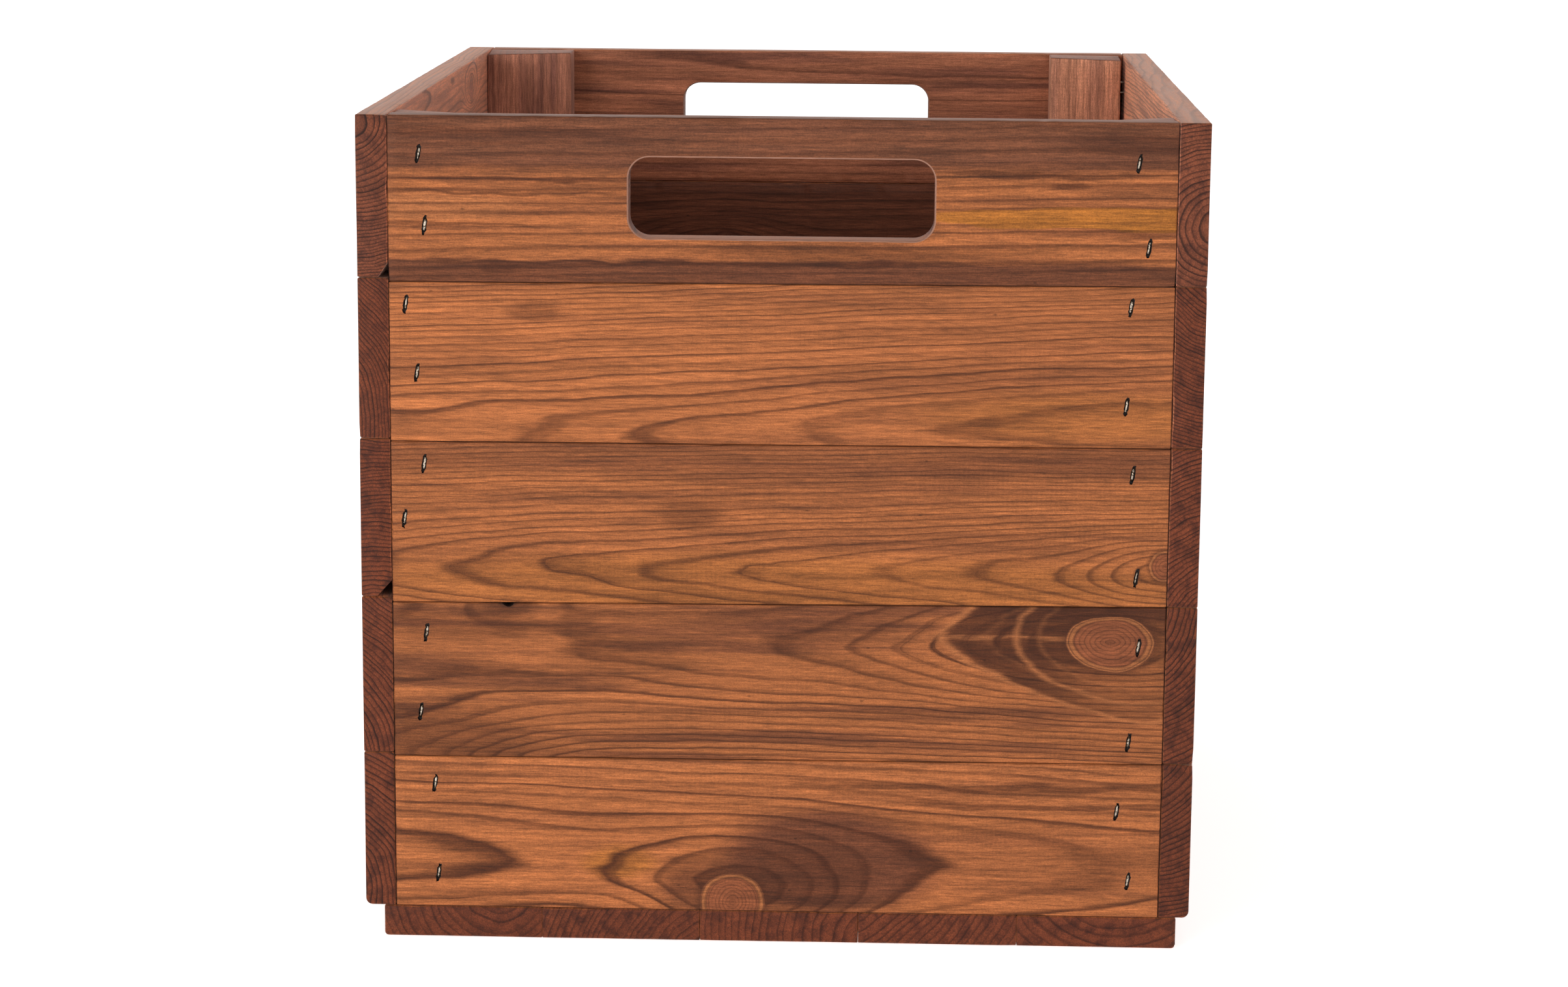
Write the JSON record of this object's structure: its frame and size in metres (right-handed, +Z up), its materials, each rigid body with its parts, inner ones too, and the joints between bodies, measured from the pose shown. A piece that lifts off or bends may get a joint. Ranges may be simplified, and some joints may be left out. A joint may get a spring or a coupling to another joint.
{
  "type": "wooden apple crate",
  "caption": "Open-topped wooden crate with board walls stapled to corner posts, a board bottom, and a hand slot in each end wall.",
  "frame": {"origin": "middle of the footprint, on the surface the crate stands on", "axes": "+Z up, out of the open top; -Y out of the front hand-slot wall; +X to the right of someone facing the front"},
  "size_m": [0.33, 0.38, 0.33],
  "materials": {
    "end_boards": "brown-stained sawn pine, satin",
    "side_boards": "brown-stained sawn pine, satin",
    "bottom_boards": "brown-stained sawn pine, matt",
    "posts": "brown-stained sawn pine, matt",
    "staples": "bright galvanised wire"
  },
  "bodies": {
    "root": {"front_handle_board": "end_boards", "front_board_2": "end_boards", "front_board_3": "end_boards", "front_board_4": "end_boards", "front_board_5": "end_boards", "back_handle_board": "end_boards", "back_board_2": "end_boards", "back_board_3": "end_boards", "back_board_4": "end_boards", "back_board_5": "end_boards", "left_side_board_1": "side_boards", "left_side_board_2": "side_boards", "left_side_board_3": "side_boards", "left_side_board_4": "side_boards", "left_side_board_5": "side_boards", "right_side_board_1": "side_boards", "right_side_board_2": "side_boards", "right_side_board_3": "side_boards", "right_side_board_4": "side_boards", "right_side_board_5": "side_boards", "bottom_board_1": "bottom_boards", "bottom_board_2": "bottom_boards", "bottom_board_3": "bottom_boards", "bottom_board_4": "bottom_boards", "bottom_board_5": "bottom_boards", "post_front_left": "posts", "post_front_right": "posts", "post_back_left": "posts", "post_back_right": "posts", "front_staple_left_01": "staples", "front_staple_left_02": "staples", "front_staple_left_03": "staples", "front_staple_left_04": "staples", "front_staple_left_05": "staples", "front_staple_left_06": "staples", "front_staple_left_07": "staples", "front_staple_left_08": "staples", "front_staple_left_09": "staples", "front_staple_left_10": "staples", "front_staple_right_01": "staples", "front_staple_right_02": "staples", "front_staple_right_03": "staples", "front_staple_right_04": "staples", "front_staple_right_05": "staples", "front_staple_right_06": "staples", "front_staple_right_07": "staples", "front_staple_right_08": "staples", "front_staple_right_09": "staples", "front_staple_right_10": "staples"}
  },
  "joints": []
}
